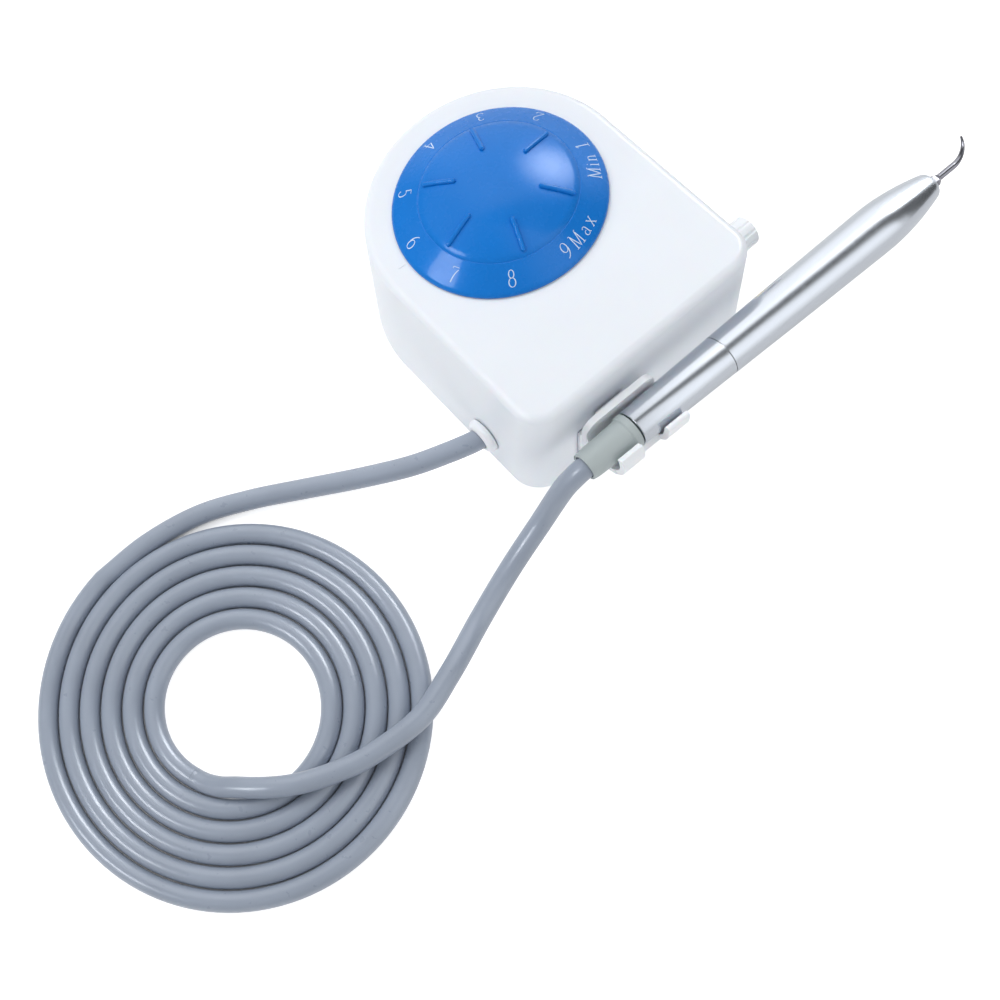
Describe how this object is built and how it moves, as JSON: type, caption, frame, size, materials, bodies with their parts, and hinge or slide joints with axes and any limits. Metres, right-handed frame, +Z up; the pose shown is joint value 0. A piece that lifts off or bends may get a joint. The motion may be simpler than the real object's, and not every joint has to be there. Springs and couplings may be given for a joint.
{
  "type": "ultrasonic scaler",
  "caption": "Bench-top dental ultrasonic scaler: D-shaped white unit with a blue domed power dial, water control knob, coiled grey cord and a satin metal handpiece in a side cradle.",
  "frame": {"origin": "on the table, in the plane of the feet's undersides, at the middle of the whole footprint (unit, coiled cord and handpiece)", "axes": "+X from the dial to the flat end with the handpiece holder, +Y the way the handpiece's tip points, +Z up"},
  "size_m": [0.1756, 0.3604, 0.0666],
  "materials": {
    "white_shell": "smooth moulded ABS, soft gloss",
    "white_trim": "moulded nylon, satin",
    "dial_blue": "vivid blue moulded plastic, gloss",
    "sage_plastic": "grey-green moulded plastic, satin",
    "cord_silicone": "smooth grey silicone with a soft sheen",
    "black_rubber": "matt moulded rubber",
    "black_plastic": "matt black",
    "water_tube": "translucent polyurethane",
    "circuit_board": "green solder mask",
    "piezo_ceramic": "fired ceramic",
    "satin_metal": "fine satin with long soft highlights",
    "steel": "ground stainless steel",
    "brass": "machined",
    "copper": "bare copper",
    "titanium": "turned titanium"
  },
  "bodies": {
    "unit": {"housing_shell": "white_shell", "base_plate": "white_shell", "cable_grommet": "white_trim", "handpiece_holder": "white_trim", "capacitor_large": "dial_blue", "capacitor_small": "dial_blue", "cable_coil": "cord_silicone", "cable_lead": "cord_silicone", "foot_1": "black_rubber", "foot_2": "black_rubber", "foot_3": "black_rubber", "foot_4": "black_rubber", "cable_clamp": "black_rubber", "potentiometer_body": "black_plastic", "power_transistor": "black_plastic", "solenoid_coil": "black_plastic", "footswitch_socket": "black_plastic", "power_socket": "black_plastic", "water_tube_supply": "water_tube", "water_tube_middle": "water_tube", "water_tube_outlet": "water_tube", "main_board": "circuit_board", "heatsink": "satin_metal", "base_screw_1": "steel", "base_screw_2": "steel", "base_screw_3": "steel", "base_screw_4": "steel", "holder_screw_1": "steel", "holder_screw_2": "steel", "potentiometer_nut": "steel", "transformer_core": "steel", "water_valve_nut": "steel", "solenoid_valve_body": "brass", "water_valve_body": "brass", "water_inlet": "brass", "transformer_winding": "copper", "transducer_wire": "copper"},
    "dial": {"power_dial": "dial_blue", "potentiometer_shaft": "steel"},
    "water_control": {"water_knob": "white_trim", "water_valve_stem": "steel"},
    "plunger": {"solenoid_plunger": "steel"},
    "connector": {"connector_sleeve": "sage_plastic", "connector_oring": "black_rubber", "contact_pin_1": "brass", "contact_pin_2": "brass"},
    "handpiece": {"rear_barrel": "satin_metal", "front_barrel": "satin_metal", "contact_socket": "black_plastic", "handpiece_water_tube": "water_tube", "preload_bolt": "steel", "back_mass": "steel", "electrode_rear": "copper", "piezo_ring_rear": "piezo_ceramic", "electrode_front": "copper", "piezo_ring_front": "piezo_ceramic", "horn": "titanium", "nodal_oring": "black_rubber"},
    "tip": {"scaler_tip": "steel"}
  },
  "joints": [
    {"name": "dial_turn", "type": "hinge", "parent": "unit", "child": "dial", "pos_m": [-0.04194, 0.06417, 0.06], "axis": [0, 0, 1], "range_deg": [-100, 184]},
    {"name": "water_knob_turn", "type": "hinge", "parent": "unit", "child": "water_control", "pos_m": [0.01336, 0.11417, 0.0357], "axis": [0, 1, 0], "range_deg": [-180, 360]},
    {"name": "solenoid_stroke", "type": "slide", "parent": "unit", "child": "plunger", "axis": [0, 0, 1], "range_m": [0, 0.0015]},
    {"name": "handpiece_lift", "type": "slide", "parent": "unit", "child": "connector", "axis": [0, 0, 1], "range_m": [0, 0.06], "deforming": ["cable_lead"]},
    {"name": "handpiece_unplug", "type": "slide", "parent": "connector", "child": "handpiece", "axis": [0, 1, 0], "range_m": [0, 0.02]},
    {"name": "tip_unscrew", "type": "hinge", "parent": "handpiece", "child": "tip", "pos_m": [0.04056, 0.16417, 0.0372], "axis": [0, 1, 0], "range_deg": [0, 1620]}
  ]
}
